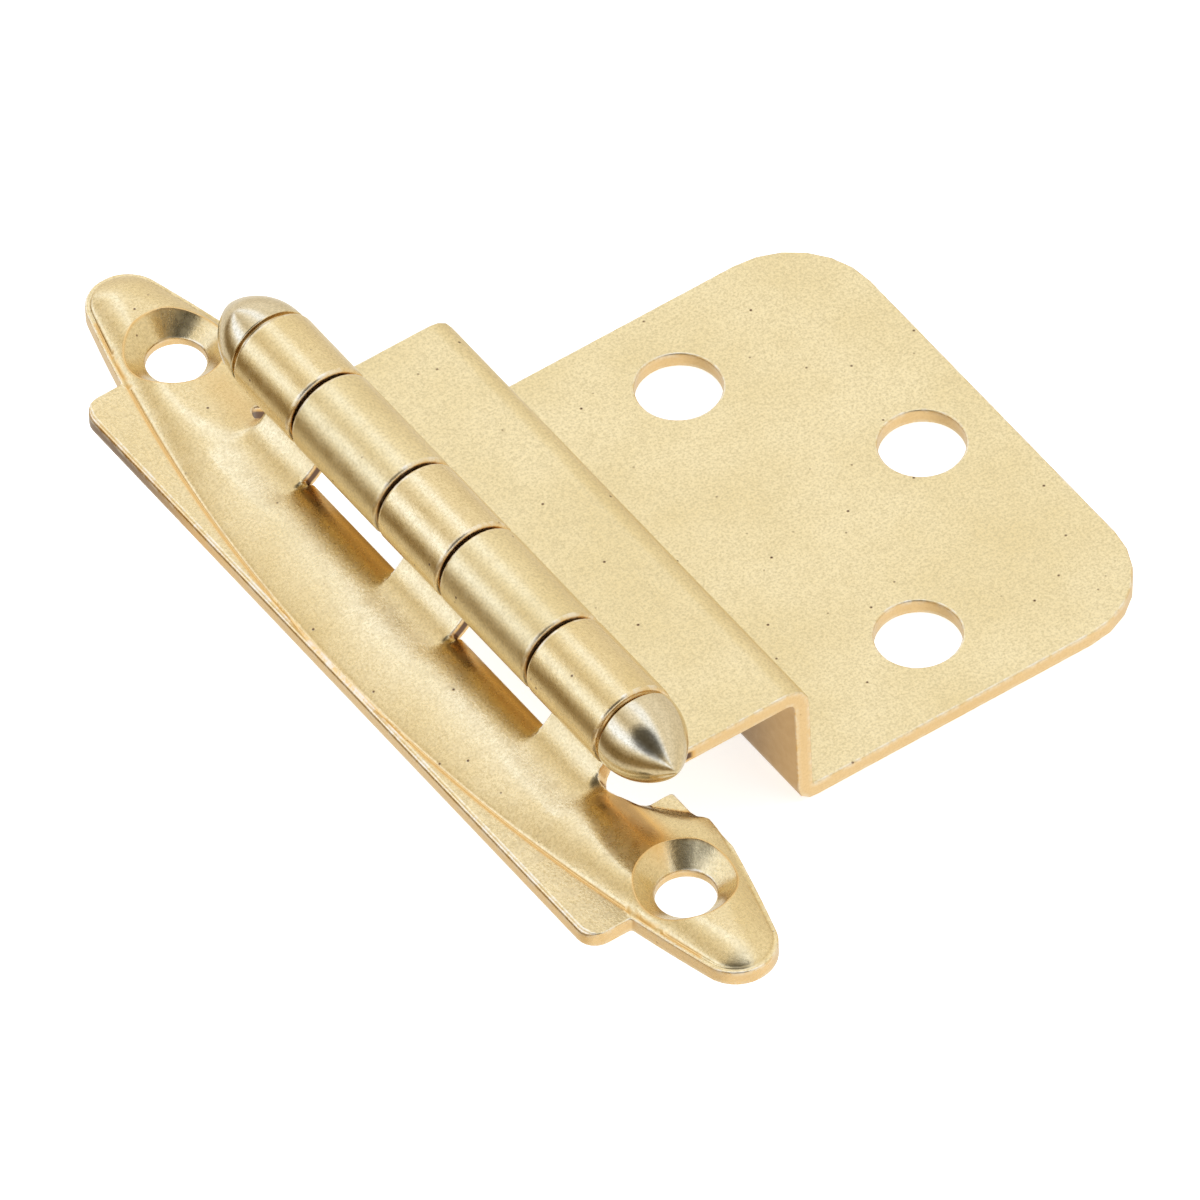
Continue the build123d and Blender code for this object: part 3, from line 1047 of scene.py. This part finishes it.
def drawn_steel():
    """Bright steel with fine lines along the pin."""
    material, tree, shader = new_material("steel_pin")
    n = Nodes(tree)
    lines = n.noise(2.0, 2.0, 0.6, stretch=(1, 0.06, 1))
    tone = n.mix(lines, (0.50, 0.47, 0.42, 1), (0.66, 0.63, 0.57, 1))
    tree.links.new(tone, shader.inputs["Base Color"])
    shader.inputs["Metallic"].default_value = 1.0
    tree.links.new(n.ramp(lines, 0.3, 0.7, 0.28, 0.42), shader.inputs["Roughness"])
    tree.links.new(n.bump(lines, 0.3, 0.01), shader.inputs["Normal"])
    return material


def dress(piece, material, body, node):
    """Give a piece its material, and put it on its body in place of a CAD node."""
    piece.data.materials.clear()
    piece.data.materials.append(material)
    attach(piece, body)
    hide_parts(node)


dress(frame_leaf, frame_brass, "frame_side", "frame_leaf")
dress(door_leaf, leaf_brass, "door_side", "door_leaf")
dress(upper_finial, finial_brass, "frame_side", "upper_finial")
dress(lower_finial, finial_brass, "frame_side", "lower_finial")
pin = frame["nodes"]["hinge_pin"]
pin.data.materials.clear()
pin.data.materials.append(drawn_steel())


# ---------------------------------------------------------------- floor, light and camera
def make_floor():
    """A plain pale floor that the metal does not mirror."""
    mesh = bpy.data.meshes.new("floor")
    half, z = 1.5, cad_box[0].z - 0.03 * MM       # just clear of the part
    corners = [(-half, -half, z), (half, -half, z), (half, half, z), (-half, half, z)]
    mesh.from_pydata(corners, [], [(0, 1, 2, 3)])
    floor = bpy.data.objects.new("floor", mesh)
    bpy.context.scene.collection.objects.link(floor)
    material, tree, shader = new_material("pale_floor")
    shader.inputs["Base Color"].default_value = (0.9, 0.9, 0.9, 1)
    shader.inputs["Roughness"].default_value = 0.9
    shader.inputs["Specular IOR Level"].default_value = 0.0
    shader.inputs["Emission Color"].default_value = (1, 1, 1, 1)
    shader.inputs["Emission Strength"].default_value = 0.7
    mesh.materials.append(material)
    floor.visible_glossy = False
    floor.visible_shadow = False


def make_tent():
    """A soft tent. Its brightness changes round the hinge's long axis: a bright cool panel
    overhead and another on the left, warm shade between them, some light from low in front,
    and a dark opening where the camera looks in."""
    world = bpy.data.worlds.new("tent")
    bpy.context.scene.world = world
    world.use_nodes = True
    tree = world.node_tree
    n = Nodes(tree)
    background = tree.nodes["Background"]
    direction = tree.nodes.new("ShaderNodeTexCoord").outputs["Generated"]
    x, y, z = (n.separate(direction, i) for i in range(3))
    round_axis = n.math("ARCTAN2", z, x)
    panels = tree.nodes.new("ShaderNodeValToRGB")
    tree.links.new(n.ramp(round_axis, -math.pi, math.pi), panels.inputs[0])
    # degrees round the hinge's axis from +X, and brightness
    stops = (
        (-180, 0.40), (-170, 0.20), (-152, 0.24), (-140, 0.66), (-116, 0.80), (-98, 0.72),
        (-46, 0.80), (-18, 0.72), (10, 0.78), (38, 0.90), (58, 0.86), (66, 0.98), (73, 1.65),
        (84, 1.80), (94, 1.10), (108, 0.82), (122, 0.62), (133, 0.95), (142, 1.75), (156, 1.90),
        (164, 1.05), (173, 0.62), (180, 0.40),
    )
    ramp = panels.color_ramp
    while len(ramp.elements) < len(stops):
        ramp.elements.new(0.5)
    for element, (angle, value) in zip(ramp.elements, stops):
        element.position = (angle + 180) / 360
        over = max(value - 1, 0)
        value = min(value, 1)
        red, green, blue = value + 0.18 * over, value**1.25 + 0.36 * over, value**1.8 + 0.85 * over
        element.color = (red / 2, green / 2, blue / 2, 1)
    front_low = n.math("MULTIPLY", n.ramp(y, 0.1, -0.4), n.ramp(z, 0.05, -0.25))
    strength = n.math("ADD", n.math("MULTIPLY", front_low, 0.45), 2.3)
    dot = tree.nodes.new("ShaderNodeVectorMath")
    dot.operation = "DOT_PRODUCT"
    tree.links.new(direction, dot.inputs[0])
    dot.inputs[1].default_value = view_back
    opening = n.ramp(dot.outputs["Value"], 0.80, 0.92)
    strength = n.math("MULTIPLY", strength, n.ramp(opening, 0, 1, 1.0, 0.12))
    tree.links.new(strength, background.inputs["Strength"])
    tree.links.new(panels.outputs[0], background.inputs["Color"])


view_right = Vector((0.8200, -0.5713, -0.0339))
view_up = Vector((0.4419, 0.5943, 0.6720))
view_back = Vector((-0.3637, -0.5660, 0.7398))
view_centre = Vector((15.37192, 3.77137, -10.52014)) * MM
view_distance = 2.4647
view_width = 77.0218 * MM             # of the picture, at the centre's distance
sensor_width = 36


def make_camera():
    """A long lens from the left, in front and above."""
    data = bpy.data.cameras.new("camera")
    camera = bpy.data.objects.new("camera", data)
    bpy.context.scene.collection.objects.link(camera)
    data.sensor_width = sensor_width
    data.lens = sensor_width * view_distance / view_width
    data.clip_start, data.clip_end = 0.1, 20
    turn = Matrix((view_right, view_up, view_back)).transposed().to_4x4()
    camera.matrix_world = Matrix.Translation(view_centre + view_back * view_distance) @ turn
    bpy.context.scene.camera = camera


make_floor()
make_tent()
make_camera()
bpy.context.scene.view_settings.view_transform = "Standard"
